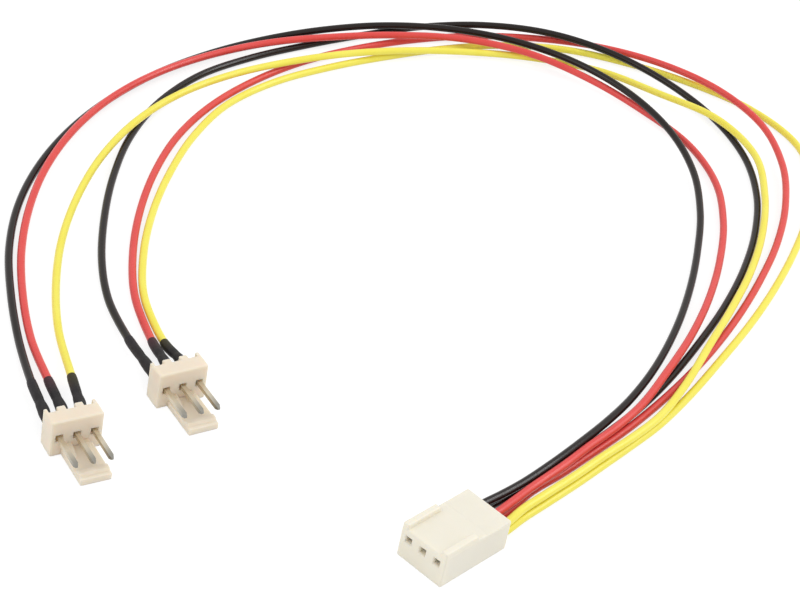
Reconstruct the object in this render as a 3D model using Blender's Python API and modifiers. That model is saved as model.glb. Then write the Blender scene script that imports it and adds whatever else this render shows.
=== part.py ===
"""Fan splitter cable: one three-way fan socket that feeds two three-pin fan plugs.

The row frame has its origin at the middle of the socket's underside. The socket's mouth faces -Y,
+X is its width and +Z is up. Everything lies on the plane z = 0. Sizes below are in millimetres,
and MM turns them into Blender's metres.
"""
import math

import bmesh
import bpy
from mathutils import Matrix, Vector

MM = 0.001

# Sizes that all three connectors share
PIN_PITCH = 2.54
PIN_SIZE = 0.64
COLOURS = ("black", "red", "yellow")
EDGE_ROUND = 0.22
CUT_MARGIN = 1.0

# Socket housing
SOCKET_WIDTH = 8.0
SOCKET_LENGTH = 12.8
SOCKET_HEIGHT = 5.0
SOCKET_FLOOR = 0.35
SOCKET_ROOF = 0.6
SOCKET_FRONT_WALL = 1.0
SOCKET_PARTITION = 0.44
RAIL_WIDTH = 1.05
RAIL_RISE = 0.75
RAIL_LENGTH = 7.8
RAIL_REAR_SLOPE = 1.6
RAIL_INSET = 0.03
REAR_STEP = 0.12
PIN_HOLE_Z = 3.45
PIN_HOLE_CLEARANCE = 0.19
PIN_HOLE_FLARE = 0.1
PIN_HOLE_FLARE_DEPTH = 0.25

# Crimp contacts in the socket
CONTACT_CLEARANCE = 0.16
CONTACT_SHEET = 0.2
CONTACT_BOX_LENGTH = 4.0
CRIMP_LENGTH = 2.9
CRIMP_OVERLAP = 0.4

# Wires, sleeved at the plugs and crimped at the socket
WIRE_DIAMETER = 1.2
CORE_DIAMETER = 0.56
CORE_CLEARANCE = 0.12
TABLE_GAP = 0.02
CROSSING_GAP = 0.28
WIRE_INTO_SOCKET = 4.9
WIRE_POINTS = 78
JOINT_GAP = 0.1

# Plug housings
PLUG_WIDTH = 7.5
PLUG_HEIGHT = 5.8
PLUG_DEPTH = 2.45
PLUG_INSET = 0.03
PLUG_JOIN_DEPTH = 0.6
RIB_DEPTH = 0.8
MIDDLE_RIB_WIDTH = 1.2
END_RIB_WIDTH = 0.55
RECESS_DEPTH = 0.3
RECESS_MARGIN = 0.12
TONGUE_LENGTH = 6.7
TONGUE_WIDTH = 4.5
TONGUE_OFFSET = 0.15
TONGUE_THICKNESS = 1.1
GUSSET_WIDTH = 0.9
GUSSET_LENGTH = 3.5
GUSSET_RISE = 0.8
GUSSET_SLOPE = 2.8
LIP_LENGTH = 1.7
LIP_RISE = 0.35
LIP_SLOPE = 0.85

# Pins and the soldered ends in the plugs
PIN_Z = 3.0
PIN_REACH = 6.0
PIN_FIT = 0.1
PIN_TIP_LENGTH = 0.5
PIN_TIP_SHARE = 0.5
PIN_TAIL_SIZE = 0.46
PIN_TAIL_LENGTH = 2.9
PIN_SHOULDER = 0.1
SOLDER_LENGTH = 1.6
SOLDER_DIAMETER = 0.8
SOLDER_END_SHARE = 0.75
BARE_CORE_LENGTH = 1.2

# Heat-shrink sleeves
SLEEVE_WALL = 0.06
SLEEVE_CLEARANCE = 0.06
SLEEVE_FLAT_WIDTH = 1.76
SLEEVE_FLAT_HEIGHT = 1.3
SLEEVE_TAIL_WIDTH = 1.04
SLEEVE_TAIL_HEIGHT = 1.16
SLEEVE_SIDES = 12
SLEEVE_LOOK_AHEAD = 0.2
SLEEVE_FLAT_SHARE = 0.3
SLEEVE_ROUND_SHARE = 0.65
SLEEVE_BEND_SHARE = 0.45
SLEEVE_BEND_SIDE_SHARE = 0.35
SLEEVE_STRAIGHT_SHARE = 0.14

# Where each plug lies: the middle of its front face's lower edge, and the turn about Z in degrees
PLUGS = {
    "plug_1": {"x": -43.9, "y": -27.7, "turn": 73.1},
    "plug_2": {"x": -43.4, "y": -9.3, "turn": 75.2},
}

# Sleeve mouths in their plug's frame: sideways from the pin, behind the front face, height
SLEEVE_MOUTHS = {
    "plug_1": {"black": (1.7, 13.7, 1.5), "red": (1.65, 13.7, 1.25), "yellow": (2.45, 13.4, 1.3)},
    "plug_2": {"black": (1.2, 13.9, 1.3), "red": (1.9, 12.9, 0.85), "yellow": (0.85, 12.0, 0.85)},
}

# The wires' routes from just behind the socket to the sleeves, fitted to the photograph: x, y and
# the layer, where 0 lies on the table and 1 rides on a wire that lies there
ROUTES = {
    "plug_1": {
        "black": (
            (-2.4, 8.3, 1.12), (-2.25, 12.3, 1), (-2.26, 17, 0.89), (-2.65, 24, 0.88), (-3.3, 30.5, 0.83),
            (-4.2, 37, 0.68), (-5.6, 44, 0.5), (-8.2, 52.8, 0.45), (-12.6, 63.4, 0.25),
            (-17.9, 73.6, 0.05), (-24, 83.4, 0), (-30.8, 92.6, 0.2), (-39, 100.7, 0.5),
            (-49, 106.3, 0.85), (-60.2, 108.6, 1.15), (-71.6, 107.6, 1.3), (-82.2, 103.2, 1.35),
            (-91.1, 96.1, 1.3), (-98.1, 87, 1.2), (-103.4, 76.8, 0.85), (-107, 65.9, 0.5),
            (-108.9, 54.6, 0.25), (-109, 43.1, 0.1), (-107.2, 31.7, 0), (-103.7, 20.8, 0),
            (-98.6, 10.5, 0), (-92, 1.1, 0), (-83.9, -7.1, 0), (-74.9, -13.9, 0), (-66.5, -19.3, 0),
        ),
        "red": (
            (0, 8.3, 1.12), (-0.4, 12.3, 1), (-0.9, 17, 0.88), (-1.3, 24, 0.88), (-1.98, 30.5, 0.82),
            (-2.48, 37, 0.76), (-3.5, 44, 0.85), (-6.1, 52.9, 0.92), (-9.9, 63.8, 0.75),
            (-14.6, 74.3, 0.45), (-20.2, 84.3, 0.25), (-26.8, 93.7, 0.2), (-34.9, 101.9, 0.15),
            (-45, 107.2, 0.05), (-56.4, 108.6, 0.05), (-67.7, 107.2, 0.5), (-78.3, 102.8, 1.15),
            (-87.3, 95.7, 1.35), (-94.5, 86.8, 1.2), (-100.2, 76.8, 1.05), (-104.6, 66.2, 1),
            (-107.3, 55, 0.85), (-107.9, 43.6, 0.8), (-106.3, 32.2, 0.8), (-102.7, 21.3, 0.7),
            (-97.3, 11.1, 0.5), (-90.4, 2, 0.3), (-82.3, -6.1, 0.1), (-73.4, -12.9, 0), (-65.4, -17.9, 0),
        ),
        "yellow": (
            (2.1, 8.3, 1.1), (1.42, 12.3, 0.93), (1.22, 17, 0.88), (1.05, 24, 0.88), (0.7, 30.5, 0.88),
            (0.5, 37, 0.88), (-0.15, 44, 0.9), (-2.6, 53, 0.85), (-6.5, 63.9, 1.03), (-10.5, 74.7, 0.85),
            (-14.9, 85.3, 0.7), (-20.3, 95.5, 0.7), (-26.9, 104.8, 0.85), (-35.2, 112.7, 1.1),
            (-46.3, 116.2, 1), (-57.9, 114.7, 0.45), (-68.5, 111.8, 0.2), (-77.9, 104.6, 0.2),
            (-85, 95.6, 0.4), (-90.4, 85.5, 0.85), (-94.9, 74.9, 1.1), (-98.4, 63.9, 1.1),
            (-100.5, 52.6, 1.1), (-100.6, 41.1, 1.1), (-98.4, 29.9, 1), (-94.1, 19.2, 0.75),
            (-88.2, 9.4, 0.4), (-81, 0.4, 0.15), (-73, -7.2, 0), (-65, -13.3, 0),
        ),
    },
    "plug_2": {
        "black": (
            (-2.4, 8.3, 0.24), (-2.4, 12.3, 0.1), (-2.6, 17, 0), (-2.62, 24, 0), (-2.83, 30.5, 0),
            (-3.2, 37, 0), (-3.95, 44, 0), (-5.7, 53.3, 0), (-8.7, 64.5, 0), (-12.2, 75.4, 0),
            (-16.6, 86.1, 0), (-22, 96.2, 0), (-28.8, 105.5, 0), (-37.4, 113.1, 0), (-47.8, 117.7, 0.15),
            (-59.2, 118.6, 0.6), (-70.4, 116.3, 1.1), (-80.7, 111.2, 1.25), (-89.2, 103.5, 0.95),
            (-95.6, 94, 0.45), (-99.8, 83.3, 0.05), (-102.6, 72.2, 0), (-104.5, 60.8, 0.05),
            (-104.7, 49.4, 0.15), (-102.2, 38.2, 0.05), (-97.2, 27.9, 0), (-90.4, 18.6, 0),
            (-82.6, 10.1, 0), (-74.1, 2.4, 0), (-66.5, -2.8, 0),
        ),
        "red": (
            (0.05, 8.3, 0.24), (-0.3, 12.3, 0.1), (-1.15, 17, 0), (-1.2, 24, 0), (-1.48, 30.5, 0),
            (-1.82, 37, 0), (-2.5, 44, 0), (-3.9, 53.3, 0), (-6.3, 64.5, 0), (-9.5, 75.6, 0),
            (-13.4, 86.4, 0.05), (-18, 96.9, 0.1), (-23.8, 106.8, 0.3), (-31.2, 115.6, 0.6),
            (-40.7, 121.9, 0.95), (-52, 124, 1.05), (-63.3, 122.1, 0.9), (-73.6, 117.3, 0.55),
            (-82.4, 109.9, 0.2), (-89.2, 100.6, 0.05), (-94, 90.2, 0), (-97.2, 79.2, 0),
            (-98.9, 67.8, 0.05), (-98.8, 56.3, 0.05), (-96.9, 45, 0.1), (-93, 34.2, 0.15),
            (-87.3, 24.3, 0.15), (-80.3, 15.1, 0.1), (-72.6, 7.1, 0.05), (-64.7, 0.75, 0),
        ),
        "yellow": (
            (2.3, 8.3, 0.22), (1.8, 12.3, 0.04), (1.65, 17, 0), (1.45, 24, 0), (1.1, 30.5, 0),
            (0.72, 37, 0), (0.15, 44, 0), (-1.5, 53.2, 0), (-4.2, 64.5, 0), (-7.1, 75.6, 0),
            (-10.6, 86.5, 0), (-14.8, 97.3, 0), (-19.7, 107.6, 0), (-25.9, 117.3, 0), (-34.7, 124.5, 0),
            (-46, 126.3, 0), (-57.1, 123.7, 0), (-67.5, 118.8, 0.05), (-76.7, 111.9, 0.2),
            (-83.8, 102.9, 0.2), (-88.9, 92.6, 0.1), (-92.6, 81.7, 0), (-95.3, 70.6, 0), (-96.8, 59.2, 0),
            (-95.9, 47.7, 0), (-92, 36.9, 0), (-86.4, 26.9, 0), (-79.8, 17.5, 0.05), (-72.4, 9.1, 0.05),
            (-64.05, 1.95, 0),
        ),
    },
}

# Sizes that follow from the ones above
MOUTH_Y = -SOCKET_LENGTH / 2
REAR_Y = SOCKET_LENGTH / 2
CHAMBER_WIDTH = PIN_PITCH - SOCKET_PARTITION
CHAMBER_TOP = SOCKET_HEIGHT - SOCKET_ROOF
CHAMBER_FRONT = MOUTH_Y + SOCKET_FRONT_WALL
WIRE_RADIUS = WIRE_DIAMETER / 2
LOWER_WIRE_Z = SOCKET_FLOOR + JOINT_GAP + WIRE_RADIUS
UPPER_WIRE_Z = LOWER_WIRE_Z + WIRE_DIAMETER + JOINT_GAP
TABLE_Z = WIRE_RADIUS + TABLE_GAP
LAYER_RISE = WIRE_DIAMETER + CROSSING_GAP
WIRE_START_Y = REAR_Y - WIRE_INTO_SOCKET
SOCKET_LEVEL = {"plug_1": UPPER_WIRE_Z, "plug_2": LOWER_WIRE_Z}
SLEEVE_RADIUS = WIRE_RADIUS + SLEEVE_CLEARANCE + SLEEVE_WALL
PIN_X = {colour: (index - 1) * PIN_PITCH for index, colour in enumerate(COLOURS)}

LOOKS = {
    "nylon": ((0.86, 0.83, 0.74), 0.45, 0.0),
    "black_pvc": ((0.02, 0.02, 0.025), 0.35, 0.0),
    "red_pvc": ((0.72, 0.06, 0.07), 0.35, 0.0),
    "yellow_pvc": ((0.9, 0.7, 0.04), 0.35, 0.0),
    "sleeve_black": ((0.025, 0.023, 0.027), 0.6, 0.0),
    "tin": ((0.55, 0.53, 0.48), 0.3, 1.0),
    "brass": ((0.55, 0.45, 0.2), 0.3, 1.0),
    "copper": ((0.8, 0.45, 0.3), 0.3, 1.0),
}


def clear_scene():
    """Empty the scene that the script runs in."""
    for old in list(bpy.data.objects):
        bpy.data.objects.remove(old, do_unlink=True)


def new_collection(name):
    """A collection linked to the scene."""
    collection = bpy.data.collections.new(name)
    bpy.context.scene.collection.children.link(collection)
    return collection


def make_material(name, look):
    """One sub-part's own material."""
    colour, roughness, metallic = LOOKS[look]
    material = bpy.data.materials.new(name)
    material.use_nodes = True
    shader = material.node_tree.nodes["Principled BSDF"]
    shader.inputs["Base Color"].default_value = (*colour, 1.0)
    shader.inputs["Roughness"].default_value = roughness
    shader.inputs["Metallic"].default_value = metallic
    material.diffuse_color = (*colour, 1.0)
    return material


def add_object(name, data, collection, look=None, parent=None):
    """Put mesh or curve data in the scene as one object."""
    obj = bpy.data.objects.new(name, data)
    collection.objects.link(obj)
    if look:
        data.materials.append(make_material(name, look))
    if parent:
        obj.parent = parent
    return obj


def mesh_from(bm, name):
    """Turn a bmesh into mesh data with its faces pointing out."""
    bmesh.ops.recalc_face_normals(bm, faces=bm.faces)
    data = bpy.data.meshes.new(name)
    bm.to_mesh(data)
    bm.free()
    return data


def box_mesh(name, low, high):
    """A box between two corners given in millimetres."""
    low, high = Vector(low) * MM, Vector(high) * MM
    bm = bmesh.new()
    bmesh.ops.create_cube(bm, size=1.0)
    size = high - low
    bmesh.ops.scale(bm, vec=size, verts=bm.verts)
    bmesh.ops.translate(bm, vec=(low + high) / 2, verts=bm.verts)
    return mesh_from(bm, name)


def bar_mesh(name, half, front, rear, front_steps=(), rear_steps=()):
    """A square bar along y, drawn on at either end by steps of a length and a share of the size."""
    data = box_mesh(name, (-half, front, -half), (half, rear, half))
    bm = bmesh.new()
    bm.from_mesh(data)
    bpy.data.meshes.remove(data)
    for sign, steps in ((-1, front_steps), (1, rear_steps)):
        face = max(bm.faces, key=lambda one: one.calc_center_median().y * sign)
        for length, share in steps:
            face = bmesh.ops.extrude_discrete_faces(bm, faces=[face])["faces"][0]
            bmesh.ops.scale(bm, vec=(share, 1, share), verts=face.verts)
            bmesh.ops.translate(bm, vec=(0, sign * length * MM, 0), verts=face.verts)
    return mesh_from(bm, name)


def wedge_mesh(name, low, high, lean):
    """A box with a ramp: its front upper edge moves back by lean, or its rear one if lean is negative."""
    data = box_mesh(name, low, high)
    centre = (Vector(low) + Vector(high)) / 2 * MM
    for vertex in data.vertices:
        at_ramp = (vertex.co.y - centre.y) * lean < 0
        if at_ramp and vertex.co.z > centre.z:
            vertex.co.y += lean * MM
    return data


def round_edges(obj, width, segments=2):
    """Round every edge of a box-like object."""
    bevel = obj.modifiers.new("round_edges", "BEVEL")
    bevel.width = width * MM
    bevel.segments = segments
    bevel.limit_method = "ANGLE"
    bevel.angle_limit = math.radians(30)
    return bevel


def combine(target, tool, operation):
    """Join or cut the target with a tool object that isn't a part itself."""
    modifier = target.modifiers.new(operation.lower(), "BOOLEAN")
    modifier.object = tool
    modifier.operation = operation
    modifier.solver = "EXACT"


class Workshop:
    """The two collections, and short ways to add parts and tools to them."""

    def __init__(self):
        self.parts = new_collection("fan_splitter_cable")
        self.tools = new_collection("cutters")

    def part(self, name, data, look, parent=None):
        return add_object(name, data, self.parts, look, parent)

    def tool(self, name, data, parent=None, rounding=0.0):
        obj = add_object(name, data, self.tools, None, parent)
        obj.hide_render = True
        obj.display_type = "WIRE"
        if rounding:
            round_edges(obj, rounding)
        return obj


class Route:
    """A smooth curve through route points, read by the distance along it in millimetres."""

    STEPS = 16

    def __init__(self, points):
        points = [Vector(point) for point in points]
        ends = [2 * points[0] - points[1], *points, 2 * points[-1] - points[-2]]
        self.samples = []
        self.knots = []
        for index in range(1, len(ends) - 2):
            self.knots.append(len(self.samples))
            self.samples.extend(self.span(*ends[index - 1:index + 3]))
        self.knots.append(len(self.samples))
        self.samples.append(points[-1])
        for sample in self.samples:
            sample.z = max(sample.z, TABLE_Z)
        self.distance = [0.0]
        for before, after in zip(self.samples, self.samples[1:]):
            self.distance.append(self.distance[-1] + (after - before).length)
        self.length = self.distance[-1]

    def span(self, before, start, end, after):
        """Points of one span of a centripetal Catmull-Rom curve, without its last point."""
        gap_a = math.sqrt((start - before).length)
        gap_b = math.sqrt((end - start).length)
        gap_c = math.sqrt((after - end).length)
        pull_a = end - start + gap_b * ((start - before) / gap_a - (end - before) / (gap_a + gap_b))
        pull_b = end - start + gap_b * ((after - end) / gap_c - (after - start) / (gap_b + gap_c))
        points = []
        for step in range(self.STEPS):
            t = step / self.STEPS
            points.append(
                (2 * t**3 - 3 * t**2 + 1) * start
                + (t**3 - 2 * t**2 + t) * pull_a
                + (3 * t**2 - 2 * t**3) * end
                + (t**3 - t**2) * pull_b
            )
        return points

    def at(self, distance):
        """The point at a distance from the route's start."""
        distance = min(max(distance, 0.0), self.length)
        index = 1
        while index < len(self.distance) - 1 and self.distance[index] < distance:
            index += 1
        low, high = self.distance[index - 1], self.distance[index]
        share = (distance - low) / (high - low)
        return self.samples[index - 1].lerp(self.samples[index], share)

    def stretch(self, start, end, count):
        """Evenly spaced points from one distance to another."""
        return [self.at(start + (end - start) * index / (count - 1)) for index in range(count)]

    def knot(self, index):
        """The distance of a route point, counted as in a list."""
        return self.distance[self.knots[index]]


def plug_matrix(plug):
    """A plug's place in the row frame, in millimetres."""
    place = PLUGS[plug]
    turn = Matrix.Rotation(math.radians(place["turn"]), 4, "Z")
    return Matrix.Translation((place["x"], place["y"], 0)) @ turn


def wire_route(plug, colour):
    """The whole route of one wire, from the socket's chamber to the notch behind its pin."""
    level = SOCKET_LEVEL[plug]
    column = PIN_X[colour]
    points = [(column, WIRE_START_Y, level)]
    points += [(x, y, TABLE_Z + layer * LAYER_RISE) for x, y, layer in ROUTES[plug][colour]]
    side, reach, height = SLEEVE_MOUTHS[plug][colour]
    bend = SLEEVE_BEND_SIDE_SHARE
    bend_y = PLUG_DEPTH + SLEEVE_BEND_SHARE * (reach - PLUG_DEPTH)
    straight_y = PLUG_DEPTH + SLEEVE_STRAIGHT_SHARE * (reach - PLUG_DEPTH)
    in_plug = (
        (column + side, reach, height),
        (column + side * bend, bend_y, PIN_Z + (height - PIN_Z) * bend),
        (column, straight_y, PIN_Z),
        (column, PLUG_DEPTH, PIN_Z),
    )
    points += [plug_matrix(plug) @ Vector(point) for point in in_plug]
    return Route(points)


def tube(shop, name, look, points, diameter, resolution=2):
    """A wire-like solid along points given in millimetres."""
    data = bpy.data.curves.new(name, "CURVE")
    data.dimensions = "3D"
    data.bevel_depth = diameter / 2 * MM
    data.bevel_resolution = resolution
    data.use_fill_caps = True
    data.resolution_u = 1
    data.render_resolution_u = 0
    spline = data.splines.new("POLY")
    spline.points.add(len(points) - 1)
    for spot, point in zip(spline.points, points):
        spot.co = (*(point * MM), 1.0)
    return shop.part(name, data, look)


def build_socket(shop):
    """The socket housing, with two rails on top, three chambers and three pin holes."""
    half_width = SOCKET_WIDTH / 2
    data = box_mesh("socket_housing", (-half_width, MOUTH_Y, 0), (half_width, REAR_Y, SOCKET_HEIGHT))
    housing = shop.part("socket_housing", data, "nylon")
    round_edges(housing, EDGE_ROUND)

    rail_end = MOUTH_Y + RAIL_LENGTH
    rail_root = SOCKET_HEIGHT / 2
    for side, sign in (("left", -1), ("right", 1)):
        outer = sign * (half_width - RAIL_INSET)
        inner = sign * (half_width - RAIL_WIDTH)
        low = (min(outer, inner), MOUTH_Y + RAIL_INSET, rail_root)
        high = (max(outer, inner), rail_end, SOCKET_HEIGHT + RAIL_RISE)
        rail = shop.tool(f"rail_{side}", wedge_mesh(f"rail_{side}", low, high, -RAIL_REAR_SLOPE))
        round_edges(rail, EDGE_ROUND)
        combine(housing, rail, "UNION")

    step_low = (-half_width - CUT_MARGIN, rail_end + EDGE_ROUND, SOCKET_HEIGHT - REAR_STEP)
    step_high = (half_width + CUT_MARGIN, REAR_Y + CUT_MARGIN, SOCKET_HEIGHT + RAIL_RISE + CUT_MARGIN)
    combine(housing, shop.tool("rear_step", box_mesh("rear_step", step_low, step_high)), "DIFFERENCE")

    hole = PIN_SIZE / 2 + PIN_HOLE_CLEARANCE
    for colour in COLOURS:
        middle = PIN_X[colour]
        low = (middle - CHAMBER_WIDTH / 2, CHAMBER_FRONT, SOCKET_FLOOR)
        high = (middle + CHAMBER_WIDTH / 2, REAR_Y + CUT_MARGIN, CHAMBER_TOP)
        chamber = shop.tool(f"chamber_{colour}", box_mesh(f"chamber_{colour}", low, high))
        combine(housing, chamber, "DIFFERENCE")
        flared = (hole + PIN_HOLE_FLARE * (1 + CUT_MARGIN / PIN_HOLE_FLARE_DEPTH)) / hole
        steps = ((PIN_HOLE_FLARE_DEPTH + CUT_MARGIN, flared),)
        data = bar_mesh(
            f"pin_hole_{colour}", hole, MOUTH_Y + PIN_HOLE_FLARE_DEPTH, CHAMBER_FRONT + CUT_MARGIN, steps
        )
        opening = shop.tool(f"pin_hole_{colour}", data)
        opening.location = (middle * MM, 0, PIN_HOLE_Z * MM)
        combine(housing, opening, "DIFFERENCE")


def build_contact(shop, colour):
    """A contact: a square spring box for the pin, and a crimp trough round the two cores."""
    name = f"contact_{colour}"
    half_width = CHAMBER_WIDTH / 2 - CONTACT_CLEARANCE
    half_height = CHAMBER_TOP - CONTACT_CLEARANCE - PIN_HOLE_Z
    front = CHAMBER_FRONT + CONTACT_CLEARANCE
    rear = front + CONTACT_BOX_LENGTH
    low = (-half_width, front, PIN_HOLE_Z - half_height)
    high = (half_width, rear, PIN_HOLE_Z + half_height)
    contact = shop.part(name, box_mesh(name, low, high), "brass")
    contact.location.x = PIN_X[colour] * MM

    low = (-half_width + CONTACT_SHEET, front - CUT_MARGIN, PIN_HOLE_Z - half_height + CONTACT_SHEET)
    high = (half_width - CONTACT_SHEET, rear + CUT_MARGIN, PIN_HOLE_Z + half_height - CONTACT_SHEET)
    bore = shop.tool(f"{name}_bore", box_mesh(f"{name}_bore", low, high), contact)
    combine(contact, bore, "DIFFERENCE")

    trough = CORE_DIAMETER / 2 + CORE_CLEARANCE
    trough_floor = LOWER_WIRE_Z - trough
    trough_top = UPPER_WIRE_Z + trough
    wall = min(CONTACT_SHEET, half_width - trough)
    low = (-trough - wall, rear - CRIMP_OVERLAP, trough_floor - CONTACT_SHEET)
    high = (trough + wall, rear - CRIMP_OVERLAP + CRIMP_LENGTH, trough_top)
    block = shop.tool(f"{name}_crimp", box_mesh(f"{name}_crimp", low, high), contact)
    combine(contact, block, "UNION")
    low = (-trough, rear, trough_floor)
    high = (trough, rear - CRIMP_OVERLAP + CRIMP_LENGTH + CUT_MARGIN, trough_top + CUT_MARGIN)
    slot = shop.tool(f"{name}_slot", box_mesh(f"{name}_slot", low, high), contact)
    combine(contact, slot, "DIFFERENCE")
    return rear


def build_plug(shop, plug):
    """A plug housing with its ribs, latch tongue and pin holes, and its three pins."""
    origin = bpy.data.objects.new(f"{plug}_origin", None)
    shop.parts.objects.link(origin)
    place = PLUGS[plug]
    origin.location = (place["x"] * MM, place["y"] * MM, 0)
    origin.rotation_euler = (0, 0, math.radians(place["turn"]))

    half_width = PLUG_WIDTH / 2
    name = f"{plug}_housing"
    data = box_mesh(name, (-half_width, 0, 0), (half_width, PLUG_DEPTH, PLUG_HEIGHT))
    housing = shop.part(name, data, "nylon", origin)
    round_edges(housing, EDGE_ROUND)

    def add(label, data, rounding=EDGE_ROUND):
        combine(housing, shop.tool(f"{plug}_{label}", data, origin, rounding), "UNION")

    def cut(label, data):
        combine(housing, shop.tool(f"{plug}_{label}", data, origin), "DIFFERENCE")

    inset = PLUG_INSET
    root = PLUG_JOIN_DEPTH
    ribs = {
        "rib_left_end": (-half_width + inset, -half_width + END_RIB_WIDTH),
        "rib_left": (-PIN_PITCH / 2 - MIDDLE_RIB_WIDTH / 2, -PIN_PITCH / 2 + MIDDLE_RIB_WIDTH / 2),
        "rib_right": (PIN_PITCH / 2 - MIDDLE_RIB_WIDTH / 2, PIN_PITCH / 2 + MIDDLE_RIB_WIDTH / 2),
        "rib_right_end": (half_width - END_RIB_WIDTH, half_width - inset),
    }
    for label, (left, right) in ribs.items():
        low = (left, PLUG_DEPTH - root, inset)
        high = (right, PLUG_DEPTH + RIB_DEPTH, PLUG_HEIGHT - inset)
        add(label, box_mesh(label, low, high), EDGE_ROUND * 0.8)

    left = TONGUE_OFFSET - TONGUE_WIDTH / 2
    right = TONGUE_OFFSET + TONGUE_WIDTH / 2
    low = (left, -TONGUE_LENGTH, inset)
    high = (right, root, TONGUE_THICKNESS)
    add("tongue", box_mesh("tongue", low, high), EDGE_ROUND * 0.6)
    low = (left + 2 * inset, -TONGUE_LENGTH + 2 * inset, TONGUE_THICKNESS / 2)
    high = (right - 2 * inset, -TONGUE_LENGTH + LIP_LENGTH, TONGUE_THICKNESS + LIP_RISE)
    add("lip", wedge_mesh("lip", low, high, LIP_SLOPE), 0)
    for label, sign in (("gusset_left", -1), ("gusset_right", 1)):
        middle = sign * PIN_PITCH / 2
        low = (middle - GUSSET_WIDTH / 2, -GUSSET_LENGTH, TONGUE_THICKNESS / 2)
        high = (middle + GUSSET_WIDTH / 2, root, TONGUE_THICKNESS + GUSSET_RISE)
        add(label, wedge_mesh(label, low, high, GUSSET_SLOPE), 0)

    hole = PIN_SIZE / 2 + PIN_FIT
    recess = hole + RECESS_MARGIN
    for colour in COLOURS:
        middle = PIN_X[colour]
        low = (middle - hole, -CUT_MARGIN, PIN_Z - hole)
        high = (middle + hole, PLUG_DEPTH + CUT_MARGIN, PIN_Z + hole)
        cut(f"hole_{colour}", box_mesh(f"hole_{colour}", low, high))
        low = (middle - recess, -CUT_MARGIN, PIN_Z - recess)
        high = (middle + recess, RECESS_DEPTH, PIN_Z + recess)
        cut(f"recess_{colour}", box_mesh(f"recess_{colour}", low, high))
        pin = shop.part(f"{plug}_pin_{colour}", pin_mesh(f"{plug}_pin_{colour}"), "tin", origin)
        pin.location = (middle * MM, 0, PIN_Z * MM)


def pin_mesh(name):
    """A square pin along y: a tapered tip at the front, and a slimmer tail for the solder."""
    tip = ((PIN_TIP_LENGTH, PIN_TIP_SHARE),)
    tail = ((PIN_SHOULDER, PIN_TAIL_SIZE / PIN_SIZE), (PIN_TAIL_LENGTH - PIN_SHOULDER, 1.0))
    return bar_mesh(name, PIN_SIZE / 2, PIN_TIP_LENGTH - PIN_REACH, PLUG_DEPTH, tip, tail)


def sleeve_sections(length):
    """Distances from the sleeve's end at the plug, with the half width and half height there."""
    rounded = SLEEVE_RADIUS
    flat = (SLEEVE_FLAT_WIDTH / 2, SLEEVE_FLAT_HEIGHT / 2)
    tail = (SLEEVE_TAIL_WIDTH / 2, SLEEVE_TAIL_HEIGHT / 2)
    shoulder = RIB_DEPTH + 2 * JOINT_GAP
    between = ((flat[0] + rounded) / 2, (flat[1] + rounded) / 2)
    return (
        (0.0, *tail),
        (shoulder - JOINT_GAP, *tail),
        (shoulder, *flat),
        (SLEEVE_FLAT_SHARE * length, *flat),
        ((SLEEVE_FLAT_SHARE + SLEEVE_ROUND_SHARE) / 2 * length, *between),
        (SLEEVE_ROUND_SHARE * length, rounded, rounded),
        (length, rounded, rounded),
    )


def build_sleeve(shop, plug, colour, route):
    """A shrunk sleeve: round over the wire, flattened over the joint, narrow in the notch."""
    name = f"{plug}_sleeve_{colour}"
    end = route.length - JOINT_GAP
    length = end - route.knot(-4)
    bm = bmesh.new()
    rings = {"outer": [], "inner": []}
    for along, half_width, half_height in sleeve_sections(length):
        spot = end - along
        centre = route.at(spot)
        ahead = (route.at(spot + SLEEVE_LOOK_AHEAD) - route.at(spot - SLEEVE_LOOK_AHEAD)).normalized()
        side = ahead.cross(Vector((0, 0, 1))).normalized()
        rise = side.cross(ahead)
        for skin, inset in (("outer", 0.0), ("inner", SLEEVE_WALL)):
            ring = []
            for index in range(SLEEVE_SIDES):
                turn = 2 * math.pi * index / SLEEVE_SIDES
                across = side * (half_width - inset) * math.cos(turn)
                upward = rise * (half_height - inset) * math.sin(turn)
                ring.append(bm.verts.new((centre + across + upward) * MM))
            rings[skin].append(ring)
    for skin in rings.values():
        for first, second in zip(skin, skin[1:]):
            join_rings(bm, first, second)
    for place in (0, -1):
        join_rings(bm, rings["outer"][place], rings["inner"][place])
    sleeve = shop.part(name, mesh_from(bm, name), "sleeve_black")
    sleeve.data.shade_smooth()
    sleeve.data.set_sharp_from_angle(angle=math.radians(40))


def join_rings(bm, first, second):
    """A band of faces between two rings of the same count."""
    for index in range(len(first)):
        after = (index + 1) % len(first)
        bm.faces.new((first[index], first[after], second[after], second[index]))


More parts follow.
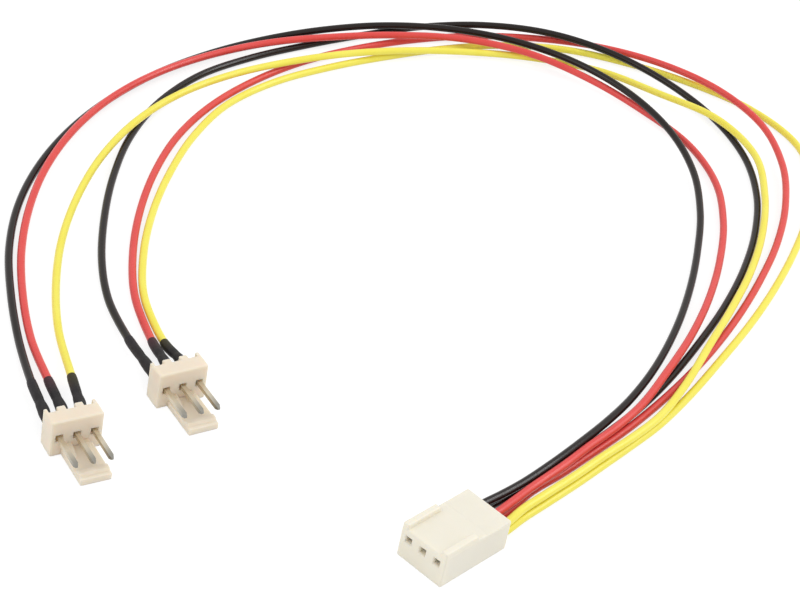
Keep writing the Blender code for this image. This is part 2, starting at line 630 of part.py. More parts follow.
def build_wire(shop, plug, colour, route, crimp_front):
    """One insulated wire with its bare cores, its solder joint and its sleeve."""
    solder_end = route.length - PIN_TAIL_LENGTH - JOINT_GAP
    solder_start = solder_end - SOLDER_LENGTH
    core_end = solder_start - JOINT_GAP
    wire_end = core_end - BARE_CORE_LENGTH - JOINT_GAP
    points = route.stretch(0.0, wire_end, WIRE_POINTS)
    tube(shop, f"{plug}_wire_{colour}", f"{colour}_pvc", points, WIRE_DIAMETER)
    points = route.stretch(wire_end + JOINT_GAP, core_end, 3)
    tube(shop, f"{plug}_core_{colour}", "copper", points, CORE_DIAMETER, 1)
    points = route.stretch(solder_start, solder_end, 3)
    solder = tube(shop, f"{plug}_solder_{colour}", "tin", points, SOLDER_DIAMETER, 1)
    for spot, swell in zip(solder.data.splines[0].points, (SOLDER_END_SHARE, 1.0, SOLDER_END_SHARE)):
        spot.radius = swell
    level = SOCKET_LEVEL[plug]
    column = PIN_X[colour]
    points = [
        Vector((column, WIRE_START_Y - JOINT_GAP, level)),
        Vector((column, crimp_front + 2 * JOINT_GAP, level)),
    ]
    tube(shop, f"{plug}_crimped_core_{colour}", "copper", points, CORE_DIAMETER, 1)
    build_sleeve(shop, plug, colour, route)


def main():
    clear_scene()
    shop = Workshop()
    build_socket(shop)
    crimp_front = 0.0
    for colour in COLOURS:
        crimp_front = build_contact(shop, colour)
    for plug in PLUGS:
        build_plug(shop, plug)
        for colour in COLOURS:
            build_wire(shop, plug, colour, wire_route(plug, colour), crimp_front)


main()
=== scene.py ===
"""Looks of the fan splitter cable: one fan socket, six loose wires and two three-pin fan plugs.

The frame is the part's own: origin at the middle of the socket's underside, -Y out of its mouth,
+X across it from the black to the yellow wire, +Z up. Sizes are in millimetres, and MM turns them
into metres.
"""
import math

import bmesh
import bpy
from mathutils import Matrix, Vector


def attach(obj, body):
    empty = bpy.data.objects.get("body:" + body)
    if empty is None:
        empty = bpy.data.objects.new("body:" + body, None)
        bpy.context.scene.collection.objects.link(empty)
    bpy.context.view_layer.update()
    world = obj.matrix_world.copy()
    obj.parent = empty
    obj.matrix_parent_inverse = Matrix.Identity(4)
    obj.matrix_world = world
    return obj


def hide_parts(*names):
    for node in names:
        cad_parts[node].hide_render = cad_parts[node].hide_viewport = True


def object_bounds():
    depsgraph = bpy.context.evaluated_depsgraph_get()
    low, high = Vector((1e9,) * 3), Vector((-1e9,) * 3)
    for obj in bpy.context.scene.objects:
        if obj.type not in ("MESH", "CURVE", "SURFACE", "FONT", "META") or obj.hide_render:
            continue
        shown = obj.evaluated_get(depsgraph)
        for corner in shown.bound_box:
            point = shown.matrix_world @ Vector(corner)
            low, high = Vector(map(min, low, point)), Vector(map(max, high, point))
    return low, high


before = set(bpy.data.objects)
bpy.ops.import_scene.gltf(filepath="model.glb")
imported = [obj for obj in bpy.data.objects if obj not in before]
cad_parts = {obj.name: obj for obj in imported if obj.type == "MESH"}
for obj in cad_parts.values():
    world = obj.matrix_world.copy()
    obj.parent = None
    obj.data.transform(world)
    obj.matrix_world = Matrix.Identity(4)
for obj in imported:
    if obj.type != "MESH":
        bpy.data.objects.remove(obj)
CAD_BOX = [list(corner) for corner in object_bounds()]

MM = 0.001
COLOURS = ("black", "red", "yellow")
PIN_PITCH = 2.54

# Camera, fitted to the photograph: metres and degrees, axes before the turn, lens and sensor in mm
CAMERA_PLACE = (0.13675, -0.20046, 0.21459)
CAMERA_AZIMUTH = 37.41
CAMERA_FORWARD = (0.0, 0.80904, -0.58775)
CAMERA_RIGHT = (0.98021, 0.11636, 0.16016)
CAMERA_UP = (-0.19797, 0.57612, 0.79303)
CAMERA_LENS = 109.76
CAMERA_SENSOR = 36.0
CAMERA_CLIP = (0.01, 20.0)

# Light: power in watts, sizes and distance in metres, and directions in degrees
WHITE = (1.0, 1.0, 1.0, 1.0)
FILL_STRENGTH = 0.8
LAMP_DISTANCE = 1.0
REAR_STRIP = {"power": 3.2, "size": (0.8, 0.16), "azimuth": 32.0, "elevation": 41.0}
FRONT_LAMP = {"power": 1.8, "size": (0.6, 0.6), "azimuth": 200.0, "elevation": 35.0}

# Floor: half its side in metres, its depth below the part in millimetres, and its brightness
FLOOR_HALF = 3.0
FLOOR_DROP = 0.01
FLOOR_BOUNCE = 0.85
FLOOR_SHADE = 0.30
FLOOR_GLOW = 0.8

# Wires
WIRE_DIAMETER = 1.2
WIRE_RADIUS = WIRE_DIAMETER / 2
WIRE_INTO_SOCKET = 4.9
WIRE_STEP = 0.8
WIRE_RING_RESOLUTION = 5
SOCKET_REAR_Y = 6.4
TABLE_Z = WIRE_RADIUS + 0.02
LAYER_RISE = WIRE_DIAMETER + 0.28
SOCKET_LEVEL = {"plug_1": 2.35, "plug_2": 1.05}
JOINT_GAP = 0.1
PIN_TAIL_LENGTH = 2.9
SOLDER_LENGTH = 1.6
BARE_CORE_LENGTH = 1.2

# Plugs: the middle of the front face's lower edge, and the turn about Z in degrees
PLUG_DEPTH = 2.45
PIN_Z = 3.0
PLUGS = {
    "plug_1": {"x": -43.9, "y": -27.7, "turn": 73.1},
    "plug_2": {"x": -43.4, "y": -9.3, "turn": 75.2},
}

# Where each sleeve's mouth lies in its plug's own axes: sideways from its pin, back and up
SLEEVE_MOUTHS = {
    "plug_1": {"black": (1.7, 13.7, 1.5), "red": (1.65, 13.7, 1.25), "yellow": (2.45, 13.4, 1.3)},
    "plug_2": {"black": (1.2, 13.9, 1.3), "red": (1.9, 12.9, 0.85), "yellow": (0.85, 12.0, 0.85)},
}
SLEEVE_BEND_SHARE = 0.45
SLEEVE_BEND_SIDE_SHARE = 0.35
SLEEVE_STRAIGHT_SHARE = 0.14

# Textures: the nylon's edge radius in millimetres, and where grain, tinge and tip colour come in
NYLON_EDGE = 0.12
NOISE_ROUGHNESS = 0.55
GRAIN_RANGE = (0.3, 0.7)
TINGE_RANGE = (0.62, 0.97)
TIP_RANGE = (0.72, 0.97)

# Heat-shrink sleeves; their flat and tail sizes are half a width and half a height
SLEEVE_WALL = 0.06
SLEEVE_RADIUS = WIRE_RADIUS + 0.12
SLEEVE_FLAT = (0.88, 0.65)
SLEEVE_TAIL = (0.52, 0.58)
SLEEVE_SHOULDER = 1.0
SLEEVE_SHOULDER_RISE = 0.25
SLEEVE_FLAT_SHARE = 0.3
SLEEVE_ROUND_SHARE = 0.68
SLEEVE_RINGS = 64
SLEEVE_SIDES = 32
SLEEVE_LOOK_AHEAD = 0.2
SLEEVE_SHARP_ANGLE = 50
MOUTH_KNOT = -4

# The shrunk skin: its creases, its waist where the insulation ends, and its mouth
CREASE_DEPTH = 0.035
CREASE_FADE_SHARE = 0.5
CREASE_END_SHARE = 0.75
CREASE_RISE = 0.8
WAIST_DEPTH = 0.07
WAIST_SHARE = 0.52
WAIST_WIDTH_SHARE = 0.07
MOUTH_SHRINK = 0.05
MOUTH_LENGTH = 1.0

# Crease waves: size, waves round the sleeve, angle for each millimetre along it, and shift
RIPPLES = ((1.0, 3, 1.9, 0.0), (0.6, 5, -2.7, 1.0))

# The wires' routes, fitted to the photograph: x, y and the layer, 0 on the table and 1 on a wire
ROUTES = {
    "plug_1": {
        "black": (
            (-2.4, 8.3, 1.12), (-2.25, 12.3, 1), (-2.26, 17, 0.89), (-2.65, 24, 0.88), (-3.3, 30.5, 0.83),
            (-4.2, 37, 0.68), (-5.6, 44, 0.5), (-8.2, 52.8, 0.45), (-12.6, 63.4, 0.25),
            (-17.9, 73.6, 0.05), (-24, 83.4, 0), (-30.8, 92.6, 0.2), (-39, 100.7, 0.5),
            (-49, 106.3, 0.85), (-60.2, 108.6, 1.15), (-71.6, 107.6, 1.3), (-82.2, 103.2, 1.35),
            (-91.1, 96.1, 1.3), (-98.1, 87, 1.2), (-103.4, 76.8, 0.85), (-107, 65.9, 0.5),
            (-108.9, 54.6, 0.25), (-109, 43.1, 0.1), (-107.2, 31.7, 0), (-103.7, 20.8, 0),
            (-98.6, 10.5, 0), (-92, 1.1, 0), (-83.9, -7.1, 0), (-74.9, -13.9, 0), (-66.5, -19.3, 0),
        ),
        "red": (
            (0, 8.3, 1.12), (-0.4, 12.3, 1), (-0.9, 17, 0.88), (-1.3, 24, 0.88), (-1.98, 30.5, 0.82),
            (-2.48, 37, 0.76), (-3.5, 44, 0.85), (-6.1, 52.9, 0.92), (-9.9, 63.8, 0.75),
            (-14.6, 74.3, 0.45), (-20.2, 84.3, 0.25), (-26.8, 93.7, 0.2), (-34.9, 101.9, 0.15),
            (-45, 107.2, 0.05), (-56.4, 108.6, 0.05), (-67.7, 107.2, 0.5), (-78.3, 102.8, 1.15),
            (-87.3, 95.7, 1.35), (-94.5, 86.8, 1.2), (-100.2, 76.8, 1.05), (-104.6, 66.2, 1),
            (-107.3, 55, 0.85), (-107.9, 43.6, 0.8), (-106.3, 32.2, 0.8), (-102.7, 21.3, 0.7),
            (-97.3, 11.1, 0.5), (-90.4, 2, 0.3), (-82.3, -6.1, 0.1), (-73.4, -12.9, 0), (-65.4, -17.9, 0),
        ),
        "yellow": (
            (2.1, 8.3, 1.1), (1.42, 12.3, 0.93), (1.22, 17, 0.88), (1.05, 24, 0.88), (0.7, 30.5, 0.88),
            (0.5, 37, 0.88), (-0.15, 44, 0.9), (-2.6, 53, 0.85), (-6.5, 63.9, 1.03), (-10.5, 74.7, 0.85),
            (-14.9, 85.3, 0.7), (-20.3, 95.5, 0.7), (-26.9, 104.8, 0.85), (-35.2, 112.7, 1.1),
            (-46.3, 116.2, 1), (-57.9, 114.7, 0.45), (-68.5, 111.8, 0.2), (-77.9, 104.6, 0.2),
            (-85, 95.6, 0.4), (-90.4, 85.5, 0.85), (-94.9, 74.9, 1.1), (-98.4, 63.9, 1.1),
            (-100.5, 52.6, 1.1), (-100.6, 41.1, 1.1), (-98.4, 29.9, 1), (-94.1, 19.2, 0.75),
            (-88.2, 9.4, 0.4), (-81, 0.4, 0.15), (-73, -7.2, 0), (-65, -13.3, 0),
        ),
    },
    "plug_2": {
        "black": (
            (-2.4, 8.3, 0.24), (-2.4, 12.3, 0.1), (-2.6, 17, 0), (-2.62, 24, 0), (-2.83, 30.5, 0),
            (-3.2, 37, 0), (-3.95, 44, 0), (-5.7, 53.3, 0), (-8.7, 64.5, 0), (-12.2, 75.4, 0),
            (-16.6, 86.1, 0), (-22, 96.2, 0), (-28.8, 105.5, 0), (-37.4, 113.1, 0), (-47.8, 117.7, 0.15),
            (-59.2, 118.6, 0.6), (-70.4, 116.3, 1.1), (-80.7, 111.2, 1.25), (-89.2, 103.5, 0.95),
            (-95.6, 94, 0.45), (-99.8, 83.3, 0.05), (-102.6, 72.2, 0), (-104.5, 60.8, 0.05),
            (-104.7, 49.4, 0.15), (-102.2, 38.2, 0.05), (-97.2, 27.9, 0), (-90.4, 18.6, 0),
            (-82.6, 10.1, 0), (-74.1, 2.4, 0), (-66.5, -2.8, 0),
        ),
        "red": (
            (0.05, 8.3, 0.24), (-0.3, 12.3, 0.1), (-1.15, 17, 0), (-1.2, 24, 0), (-1.48, 30.5, 0),
            (-1.82, 37, 0), (-2.5, 44, 0), (-3.9, 53.3, 0), (-6.3, 64.5, 0), (-9.5, 75.6, 0),
            (-13.4, 86.4, 0.05), (-18, 96.9, 0.1), (-23.8, 106.8, 0.3), (-31.2, 115.6, 0.6),
            (-40.7, 121.9, 0.95), (-52, 124, 1.05), (-63.3, 122.1, 0.9), (-73.6, 117.3, 0.55),
            (-82.4, 109.9, 0.2), (-89.2, 100.6, 0.05), (-94, 90.2, 0), (-97.2, 79.2, 0),
            (-98.9, 67.8, 0.05), (-98.8, 56.3, 0.05), (-96.9, 45, 0.1), (-93, 34.2, 0.15),
            (-87.3, 24.3, 0.15), (-80.3, 15.1, 0.1), (-72.6, 7.1, 0.05), (-64.7, 0.75, 0),
        ),
        "yellow": (
            (2.3, 8.3, 0.22), (1.8, 12.3, 0.04), (1.65, 17, 0), (1.45, 24, 0), (1.1, 30.5, 0),
            (0.72, 37, 0), (0.15, 44, 0), (-1.5, 53.2, 0), (-4.2, 64.5, 0), (-7.1, 75.6, 0),
            (-10.6, 86.5, 0), (-14.8, 97.3, 0), (-19.7, 107.6, 0), (-25.9, 117.3, 0), (-34.7, 124.5, 0),
            (-46, 126.3, 0), (-57.1, 123.7, 0), (-67.5, 118.8, 0.05), (-76.7, 111.9, 0.2),
            (-83.8, 102.9, 0.2), (-88.9, 92.6, 0.1), (-92.6, 81.7, 0), (-95.3, 70.6, 0), (-96.8, 59.2, 0),
            (-95.9, 47.7, 0), (-92, 36.9, 0), (-86.4, 26.9, 0), (-79.8, 17.5, 0.05), (-72.4, 9.1, 0.05),
            (-64.05, 1.95, 0),
        ),
    },
}


class Route:
    """A smooth curve through route points, read by the distance along it in millimetres."""

    STEPS = 16

    def __init__(self, points):
        points = [Vector(point) for point in points]
        ends = [2 * points[0] - points[1], *points, 2 * points[-1] - points[-2]]
        self.samples = []
        self.knots = []
        for index in range(1, len(ends) - 2):
            self.knots.append(len(self.samples))
            self.samples.extend(self.span(*ends[index - 1:index + 3]))
        self.knots.append(len(self.samples))
        self.samples.append(points[-1])
        for sample in self.samples:
            sample.z = max(sample.z, TABLE_Z)
        self.distance = [0.0]
        for before, after in zip(self.samples, self.samples[1:]):
            self.distance.append(self.distance[-1] + (after - before).length)
        self.length = self.distance[-1]

    def span(self, before, start, end, after):
        """Points of one span of a centripetal Catmull-Rom curve, without its last point."""
        gap_a = math.sqrt((start - before).length)
        gap_b = math.sqrt((end - start).length)
        gap_c = math.sqrt((after - end).length)
        pull_a = end - start + gap_b * ((start - before) / gap_a - (end - before) / (gap_a + gap_b))
        pull_b = end - start + gap_b * ((after - end) / gap_c - (after - start) / (gap_b + gap_c))
        points = []
        for step in range(self.STEPS):
            t = step / self.STEPS
            points.append(
                (2 * t**3 - 3 * t**2 + 1) * start
                + (t**3 - 2 * t**2 + t) * pull_a
                + (3 * t**2 - 2 * t**3) * end
                + (t**3 - t**2) * pull_b
            )
        return points

    def at(self, distance):
        """The point at a distance from the route's start."""
        distance = min(max(distance, 0.0), self.length)
        index = 1
        while index < len(self.distance) - 1 and self.distance[index] < distance:
            index += 1
        low, high = self.distance[index - 1], self.distance[index]
        share = (distance - low) / (high - low)
        return self.samples[index - 1].lerp(self.samples[index], share)

    def stretch(self, start, end, count):
        """Evenly spaced points from one distance to another."""
        return [self.at(start + (end - start) * index / (count - 1)) for index in range(count)]

    def knot(self, index):
        """The distance of a route point, counted as in a list."""
        return self.distance[self.knots[index]]


def plug_matrix(plug):
    """A plug's place in the frame, in millimetres."""
    place = PLUGS[plug]
    turn = Matrix.Rotation(math.radians(place["turn"]), 4, "Z")
    return Matrix.Translation((place["x"], place["y"], 0)) @ turn


def wire_route(plug, colour):
    """The whole route of one wire, from the socket's chamber to the notch behind its pin."""
    level = SOCKET_LEVEL[plug]
    column = (COLOURS.index(colour) - 1) * PIN_PITCH
    points = [(column, SOCKET_REAR_Y - WIRE_INTO_SOCKET, level)]
    points += [(x, y, TABLE_Z + layer * LAYER_RISE) for x, y, layer in ROUTES[plug][colour]]
    side, reach, height = SLEEVE_MOUTHS[plug][colour]
    bend = SLEEVE_BEND_SIDE_SHARE
    bend_y = PLUG_DEPTH + SLEEVE_BEND_SHARE * (reach - PLUG_DEPTH)
    straight_y = PLUG_DEPTH + SLEEVE_STRAIGHT_SHARE * (reach - PLUG_DEPTH)
    in_plug = (
        (column + side, reach, height),
        (column + side * bend, bend_y, PIN_Z + (height - PIN_Z) * bend),
        (column, straight_y, PIN_Z),
        (column, PLUG_DEPTH, PIN_Z),
    )
    points += [plug_matrix(plug) @ Vector(point) for point in in_plug]
    return Route(points)


# Camera

def rotation_from_axes(right, up, forward, azimuth):
    """A camera matrix from its three axes, turned about Z."""
    turn = Matrix.Rotation(math.radians(azimuth), 4, "Z")
    axes = Matrix((right, up, [-part for part in forward])).transposed().to_4x4()
    return turn @ axes


def make_camera():
    data = bpy.data.cameras.new("camera")
    data.lens = CAMERA_LENS
    data.sensor_width = CAMERA_SENSOR
    data.clip_start, data.clip_end = CAMERA_CLIP
    camera = bpy.data.objects.new("camera", data)
    matrix = rotation_from_axes(CAMERA_RIGHT, CAMERA_UP, CAMERA_FORWARD, CAMERA_AZIMUTH)
    matrix.translation = Vector(CAMERA_PLACE)
    camera.matrix_world = matrix
    bpy.context.scene.collection.objects.link(camera)
    bpy.context.scene.camera = camera


# Material helpers

class Nodes:
    """Short ways to build one material's node tree."""

    def __init__(self, name):
        self.material = bpy.data.materials.new(name)
        self.material.use_nodes = True
        self.tree = self.material.node_tree
        self.shader = self.tree.nodes["Principled BSDF"]
        self.output = self.tree.nodes["Material Output"]

    def add(self, kind, **settings):
        node = self.tree.nodes.new(kind)
        for key, value in settings.items():
            setattr(node, key, value)
        return node

    def link(self, source, target):
        self.tree.links.new(source, target)

    def ramp(self, factor, stops):
        """A colour ramp with stops of a position and a colour or a grey."""
        node = self.add("ShaderNodeValToRGB")
        elements = node.color_ramp.elements
        while len(elements) < len(stops):
            elements.new(0.5)
        for element, (position, colour) in zip(elements, stops):
            element.position = position
            if isinstance(colour, (int, float)):
                colour = (colour, colour, colour)
            element.color = (*colour, 1.0)
        self.link(factor, node.inputs["Fac"])
        return node.outputs["Color"]

    def noise(self, coordinates, scale, detail):
        node = self.add("ShaderNodeTexNoise")
        node.inputs["Scale"].default_value = scale
        node.inputs["Detail"].default_value = detail
        node.inputs["Roughness"].default_value = NOISE_ROUGHNESS
        self.link(coordinates, node.inputs["Vector"])
        return node.outputs["Fac"]

    def mix(self, factor, first, second):
        """A colour mix; each side is a socket or a colour."""
        node = self.add("ShaderNodeMix", data_type="RGBA")
        self.link(factor, node.inputs["Factor"])
        for name, side in (("A", first), ("B", second)):
            socket = [one for one in node.inputs if one.name == name and one.type == "RGBA"][0]
            if isinstance(side, tuple):
                socket.default_value = (*side, 1.0)
            else:
                self.link(side, socket)
        return [one for one in node.outputs if one.type == "RGBA"][0]

    def bump(self, height, strength, distance, normal=None):
        node = self.add("ShaderNodeBump")
        node.inputs["Strength"].default_value = strength
        node.inputs["Distance"].default_value = distance
        self.link(height, node.inputs["Height"])
        if normal:
            self.link(normal, node.inputs["Normal"])
        return node.outputs["Normal"]

    def set_roughness(self, grain, low, high):
        """Roughness between two values, by a fine grain."""
        start, end = GRAIN_RANGE
        self.link(self.ramp(grain, ((start, low), (end, high))), self.shader.inputs["Roughness"])


def pvc_material(name, deep, plain, roughness, specular=0.5):
    """Extruded insulation: a slightly uneven colour, fine pits and long shallow waves."""
    nodes = Nodes(name)
    spot = nodes.add("ShaderNodeTexCoord").outputs["Object"]
    cloud = nodes.noise(spot, 260.0, 2.0)
    nodes.link(nodes.mix(cloud, deep, plain), nodes.shader.inputs["Base Color"])
    grain = nodes.noise(spot, 5200.0, 4.0)
    nodes.set_roughness(grain, roughness - 0.06, roughness + 0.08)
    wave = nodes.bump(nodes.noise(spot, 700.0, 2.0), 0.25, 0.00004)
    nodes.link(nodes.bump(grain, 0.15, 0.00001, wave), nodes.shader.inputs["Normal"])
    nodes.shader.inputs["Specular IOR Level"].default_value = specular
    return nodes.material


def sleeve_material(name, tinge):
    """Shrunk tube: matt near-black with fine creases, thin enough at its mouth to show the wire."""
    nodes = Nodes(name)
    spot = nodes.add("ShaderNodeTexCoord").outputs["Object"]
    cloud = nodes.noise(spot, 500.0, 3.0)
    plain = nodes.mix(cloud, (0.010, 0.009, 0.010), (0.021, 0.018, 0.019))
    along = nodes.add("ShaderNodeSeparateXYZ")
    nodes.link(nodes.add("ShaderNodeUVMap").outputs["UV"], along.inputs["Vector"])
    start, end = TINGE_RANGE
    near_mouth = nodes.ramp(along.outputs["Y"], ((start, 0.0), (end, 1.0)))
    nodes.link(nodes.mix(near_mouth, plain, tinge), nodes.shader.inputs["Base Color"])
    grain = nodes.noise(spot, 4200.0, 4.0)
    nodes.set_roughness(grain, 0.5, 0.68)
    crease = nodes.bump(nodes.noise(spot, 1100.0, 3.0), 0.35, 0.00006)
    nodes.link(nodes.bump(grain, 0.3, 0.00001, crease), nodes.shader.inputs["Normal"])
    nodes.shader.inputs["Specular IOR Level"].default_value = 0.22
    return nodes.material


def nylon_material(name, deep, plain, glow):
    """Off-white moulded nylon, slightly translucent, with a fine mould texture."""
    nodes = Nodes(name)
    spot = nodes.add("ShaderNodeTexCoord").outputs["Object"]
    cloud = nodes.noise(spot, 210.0, 3.0)
    nodes.link(nodes.mix(cloud, deep, plain), nodes.shader.inputs["Base Color"])
    grain = nodes.noise(spot, 3000.0, 5.0)
    nodes.set_roughness(grain, 0.36, 0.52)
    edges = nodes.add("ShaderNodeBevel", samples=8)
    edges.inputs["Radius"].default_value = NYLON_EDGE * MM
    flow = nodes.bump(nodes.noise(spot, 420.0, 2.0), 0.2, 0.00008, edges.outputs["Normal"])
    nodes.link(nodes.bump(grain, 0.25, 0.000015, flow), nodes.shader.inputs["Normal"])
    nodes.shader.inputs["Subsurface Weight"].default_value = glow
    nodes.shader.inputs["Subsurface Radius"].default_value = (0.0016, 0.0013, 0.0009)
    nodes.shader.inputs["Subsurface Scale"].default_value = 1.0
    return nodes.material


def metal_material(name, deep, plain, low, high, tip=None):
    """Metal with fine grain; a tip colour comes in towards +X, where the plugs' pins end."""
    nodes = Nodes(name)
    spot = nodes.add("ShaderNodeTexCoord").outputs["Object"]
    cloud = nodes.noise(spot, 900.0, 3.0)
    colour = nodes.mix(cloud, deep, plain)
    if tip:
        along = nodes.add("ShaderNodeSeparateXYZ")
        nodes.link(nodes.add("ShaderNodeTexCoord").outputs["Generated"], along.inputs["Vector"])
        start, end = TIP_RANGE
        near_tip = nodes.ramp(along.outputs["X"], ((start, 0.0), (end, 1.0)))
        colour = nodes.mix(near_tip, colour, tip)
    nodes.link(colour, nodes.shader.inputs["Base Color"])
    grain = nodes.noise(spot, 6000.0, 4.0)
    nodes.set_roughness(grain, low, high)
    nodes.link(nodes.bump(grain, 0.2, 0.00001), nodes.shader.inputs["Normal"])
    nodes.shader.inputs["Metallic"].default_value = 1.0
    return nodes.material


def set_material(obj, material):
    obj.data.materials.clear()
    obj.data.materials.append(material)


# Pieces

def link_object(name, data, material):
    obj = bpy.data.objects.new(name, data)
    bpy.context.scene.collection.objects.link(obj)
    obj.data.materials.append(material)
    return obj


def build_wire(plug, colour, route, material):
    """The insulated wire: one smooth round curve that stands for its plain solid."""
    solder_start = route.length - PIN_TAIL_LENGTH - JOINT_GAP - SOLDER_LENGTH
    end = solder_start - 2 * JOINT_GAP - BARE_CORE_LENGTH
    count = int(end / WIRE_STEP)
    name = f"{plug}_lead_{colour}"
    data = bpy.data.curves.new(name, "CURVE")
    data.dimensions = "3D"
    data.bevel_depth = WIRE_RADIUS * MM
    data.bevel_resolution = WIRE_RING_RESOLUTION
    data.use_fill_caps = True
    data.resolution_u = 1
    spline = data.splines.new("POLY")
    spline.points.add(count - 1)
    for spot, point in zip(spline.points, route.stretch(0.0, end, count)):
        spot.co = (*(point * MM), 1.0)
    spline.use_smooth = True
    wire = link_object(name, data, material)
    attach(wire, "root")
    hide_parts(f"{plug}_wire_{colour}")
    tuple(route.at(WIRE_INTO_SOCKET) * MM)


def smooth_step(value):
    """0 to 1 with level ends."""
    value = min(max(value, 0.0), 1.0)
    return value * value * (3 - 2 * value)


def sleeve_half_sizes(along, length):
    """Half width and half height at a distance from the sleeve's end at the plug."""
    fatten = smooth_step((along - SLEEVE_SHOULDER + SLEEVE_SHOULDER_RISE) / SLEEVE_SHOULDER_RISE)
    round_off = SLEEVE_ROUND_SHARE - SLEEVE_FLAT_SHARE
    rounding = smooth_step((along / length - SLEEVE_FLAT_SHARE) / round_off)
    sizes = []
    for flat, tail in zip(SLEEVE_FLAT, SLEEVE_TAIL):
        wide = flat + (SLEEVE_RADIUS - flat) * rounding
        sizes.append(tail + (wide - tail) * fatten)
    return sizes


def sleeve_crease(along, length, turn):
    """How far the shrunk skin sinks in: creases, a waist where the insulation ends, a tight mouth."""
    share = along / length
    fade = smooth_step((CREASE_END_SHARE - share) / CREASE_FADE_SHARE)
    near_plug = fade * smooth_step((along - SLEEVE_SHOULDER) / CREASE_RISE)
    ripple = 0.0
    for size, around, onward, shift in RIPPLES:
        ripple += size * (1 + math.sin(around * turn + onward * along + shift))
    waist = math.exp(-((share - WAIST_SHARE) / WAIST_WIDTH_SHARE) ** 2)
    mouth = smooth_step((along - length + MOUTH_LENGTH) / MOUTH_LENGTH)
    return CREASE_DEPTH * near_plug * ripple / 2 + WAIST_DEPTH * waist + MOUTH_SHRINK * mouth


def build_sleeve(plug, colour, route, material):
    """A shrunk sleeve: round over the wire, flattened over the joint, narrow in the housing's notch."""
    name = f"{plug}_shrink_tube_{colour}"
    end = route.length - JOINT_GAP
    length = end - route.knot(MOUTH_KNOT)
    bm = bmesh.new()
    uv_layer = bm.loops.layers.uv.new("UVMap")
    skins = {"outer": [], "inner": []}
    for step in range(SLEEVE_RINGS + 1):
        along = length * step / SLEEVE_RINGS
        centre = route.at(end - along)
        before = route.at(end - along - SLEEVE_LOOK_AHEAD)
        ahead = (route.at(end - along + SLEEVE_LOOK_AHEAD) - before).normalized()
        side = ahead.cross(Vector((0, 0, 1))).normalized()
        rise = side.cross(ahead)
        half_width, half_height = sleeve_half_sizes(along, length)
        for skin, inset in (("outer", 0.0), ("inner", SLEEVE_WALL)):
            ring = []
            for index in range(SLEEVE_SIDES):
                turn = 2 * math.pi * index / SLEEVE_SIDES
                sink = inset + sleeve_crease(along, length, turn)
                across = side * (half_width - sink) * math.cos(turn)
                upward = rise * (half_height - sink) * math.sin(turn)
                ring.append(bm.verts.new((centre + across + upward) * MM))
            skins[skin].append(ring)
    for rings in skins.values():
        for step, (first, second) in enumerate(zip(rings, rings[1:])):
            for face in join_rings(bm, first, second):
                for loop in face.loops:
                    row = step if loop.vert in first else step + 1
                    loop[uv_layer].uv = (0.5, row / SLEEVE_RINGS)
    for place in (0, -1):
        for face in join_rings(bm, skins["outer"][place], skins["inner"][place]):
            for loop in face.loops:
                loop[uv_layer].uv = (0.5, 0.0 if place == 0 else 1.0)
    bmesh.ops.recalc_face_normals(bm, faces=bm.faces)
    data = bpy.data.meshes.new(name)
    bm.to_mesh(data)
    bm.free()
    data.shade_smooth()
    data.set_sharp_from_angle(angle=math.radians(SLEEVE_SHARP_ANGLE))
    sleeve = link_object(name, data, material)
    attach(sleeve, "root")
    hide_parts(f"{plug}_sleeve_{colour}")


def join_rings(bm, first, second):
    """A band of faces between two rings of the same count."""
    faces = []
    for index in range(len(first)):
        after = (index + 1) % len(first)
        faces.append(bm.faces.new((first[index], first[after], second[after], second[index])))
    return faces


# Floor, surround and lamps

def seen_rays(tree):
    """1 for rays from the camera, straight or by way of a shine or a clear body, and 0 for others."""
    path = tree.nodes.new("ShaderNodeLightPath")
    seen = path.outputs["Is Camera Ray"]
    for other in ("Is Glossy Ray", "Is Transmission Ray"):
        both = tree.nodes.new("ShaderNodeMath")
        both.operation = "MAXIMUM"
        tree.links.new(seen, both.inputs[0])
        tree.links.new(path.outputs[other], both.inputs[1])
        seen = both.outputs["Value"]
    return seen


def make_stage():
    """A pale floor that reads as white to the camera and keeps the object's soft shadow."""
    bm = bmesh.new()
    bmesh.ops.create_grid(bm, x_segments=1, y_segments=1, size=FLOOR_HALF)
    data = bpy.data.meshes.new("floor")
    bm.to_mesh(data)
    bm.free()
    nodes = Nodes("floor")
    bounce = nodes.add("ShaderNodeBsdfDiffuse")
    bounce.inputs["Color"].default_value = (FLOOR_BOUNCE, FLOOR_BOUNCE, FLOOR_BOUNCE, 1.0)
    shaded = nodes.add("ShaderNodeBsdfDiffuse")
    shaded.inputs["Color"].default_value = (FLOOR_SHADE, FLOOR_SHADE, FLOOR_SHADE, 1.0)
    glow = nodes.add("ShaderNodeEmission")
    glow.inputs["Color"].default_value = WHITE
    glow.inputs["Strength"].default_value = FLOOR_GLOW
    both = nodes.add("ShaderNodeAddShader")
    nodes.link(shaded.outputs["BSDF"], both.inputs[0])
    nodes.link(glow.outputs["Emission"], both.inputs[1])
    pick = nodes.add("ShaderNodeMixShader")
    nodes.link(seen_rays(nodes.tree), pick.inputs["Fac"])
    nodes.link(bounce.outputs["BSDF"], pick.inputs[1])
    nodes.link(both.outputs["Shader"], pick.inputs[2])
    nodes.link(pick.outputs["Shader"], nodes.output.inputs["Surface"])
    floor = link_object("floor", data, nodes.material)
    floor.location.z = -FLOOR_DROP * MM


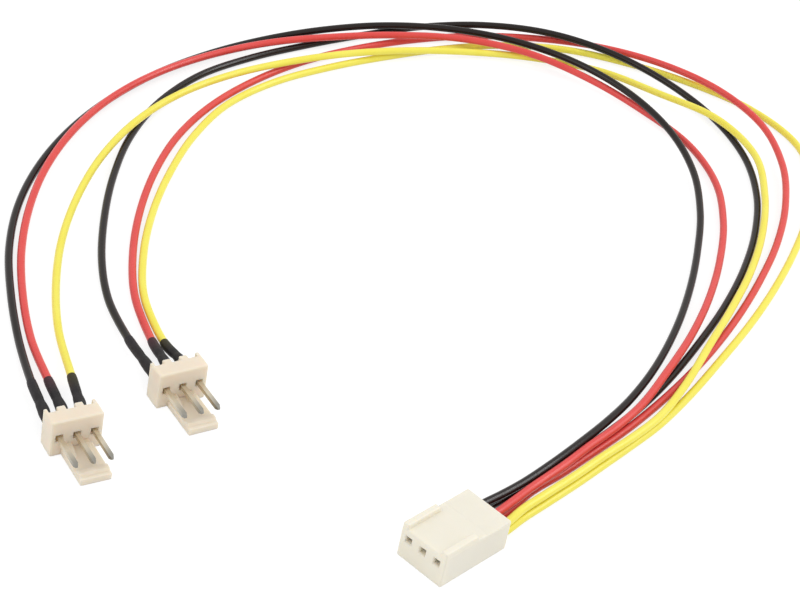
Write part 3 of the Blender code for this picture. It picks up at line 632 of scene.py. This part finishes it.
def make_world():
    """A plain soft surround: white behind the object, and grey enough for the lamps to model it."""
    world = bpy.data.worlds.new("surround")
    bpy.context.scene.world = world
    world.use_nodes = True
    tree = world.node_tree
    light = tree.nodes["Background"]
    light.inputs["Color"].default_value = WHITE
    light.inputs["Strength"].default_value = FILL_STRENGTH
    seen = tree.nodes.new("ShaderNodeBackground")
    seen.inputs["Color"].default_value = WHITE
    seen.inputs["Strength"].default_value = 1.0
    pick = tree.nodes.new("ShaderNodeMixShader")
    tree.links.new(seen_rays(tree), pick.inputs["Fac"])
    tree.links.new(light.outputs["Background"], pick.inputs[1])
    tree.links.new(seen.outputs["Background"], pick.inputs[2])
    tree.links.new(pick.outputs["Shader"], tree.nodes["World Output"].inputs["Surface"])


def make_lamp(name, look):
    """A soft rectangular lamp that faces the middle of the cable, with its width square to Y."""
    low, high = (Vector(corner) for corner in CAD_BOX)
    azimuth = math.radians(look["azimuth"])
    elevation = math.radians(look["elevation"])
    outward = Vector((
        math.sin(azimuth) * math.cos(elevation),
        math.cos(azimuth) * math.cos(elevation),
        math.sin(elevation),
    ))
    across = outward.cross(Vector((0, 1, 0))).normalized()
    data = bpy.data.lights.new(name, "AREA")
    data.shape = "RECTANGLE"
    data.size, data.size_y = look["size"]
    data.energy = look["power"]
    lamp = bpy.data.objects.new(name, data)
    bpy.context.scene.collection.objects.link(lamp)
    matrix = Matrix((across, outward.cross(across), outward)).transposed().to_4x4()
    matrix.translation = (low + high) / 2 + outward * LAMP_DISTANCE
    lamp.matrix_world = matrix


def main():
    bpy.context.scene.view_settings.view_transform = "Standard"
    make_camera()
    looks = {
        "black": pvc_material("black_pvc", (0.010, 0.006, 0.005), (0.016, 0.011, 0.009), 0.2, 0.27),
        "red": pvc_material("red_pvc", (0.70, 0.052, 0.046), (0.78, 0.080, 0.072), 0.3, 0.4),
        "yellow": pvc_material("yellow_pvc", (0.87, 0.75, 0.06), (0.91, 0.84, 0.13), 0.3, 0.4),
    }
    sleeves = {
        "black": sleeve_material("sleeve_on_black", (0.018, 0.015, 0.019)),
        "red": sleeve_material("sleeve_on_red", (0.060, 0.020, 0.028)),
        "yellow": sleeve_material("sleeve_on_yellow", (0.040, 0.034, 0.012)),
    }
    for plug in PLUGS:
        for colour in COLOURS:
            route = wire_route(plug, colour)
            build_wire(plug, colour, route, looks[colour])
            build_sleeve(plug, colour, route, sleeves[colour])

    socket_nylon = nylon_material("socket_nylon", (0.84, 0.78, 0.645), (0.88, 0.83, 0.71), 0.25)
    plug_nylon = nylon_material("plug_nylon", (0.79, 0.68, 0.545), (0.84, 0.74, 0.605), 0.6)
    tin = metal_material(
        "tinned_pin", (0.60, 0.54, 0.42), (0.72, 0.65, 0.52), 0.28, 0.42, tip=(0.28, 0.27, 0.24)
    )
    brass = metal_material("contact_brass", (0.60, 0.45, 0.12), (0.76, 0.60, 0.20), 0.28, 0.45)
    solder = metal_material("solder", (0.55, 0.55, 0.56), (0.68, 0.68, 0.70), 0.2, 0.4)
    copper = metal_material("copper", (0.72, 0.36, 0.22), (0.86, 0.48, 0.32), 0.28, 0.45)
    finishes = {
        "socket_housing": socket_nylon,
        "housing": plug_nylon,
        "contact": brass,
        "pin": tin,
        "solder": solder,
        "core": copper,
    }
    for name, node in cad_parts.items():
        for word, material in finishes.items():
            if word in name:
                set_material(node, material)
                break

    make_stage()
    make_world()
    make_lamp("rear_strip", REAR_STRIP)
    make_lamp("front_lamp", FRONT_LAMP)
    bpy.context.view_layer.update()


main()
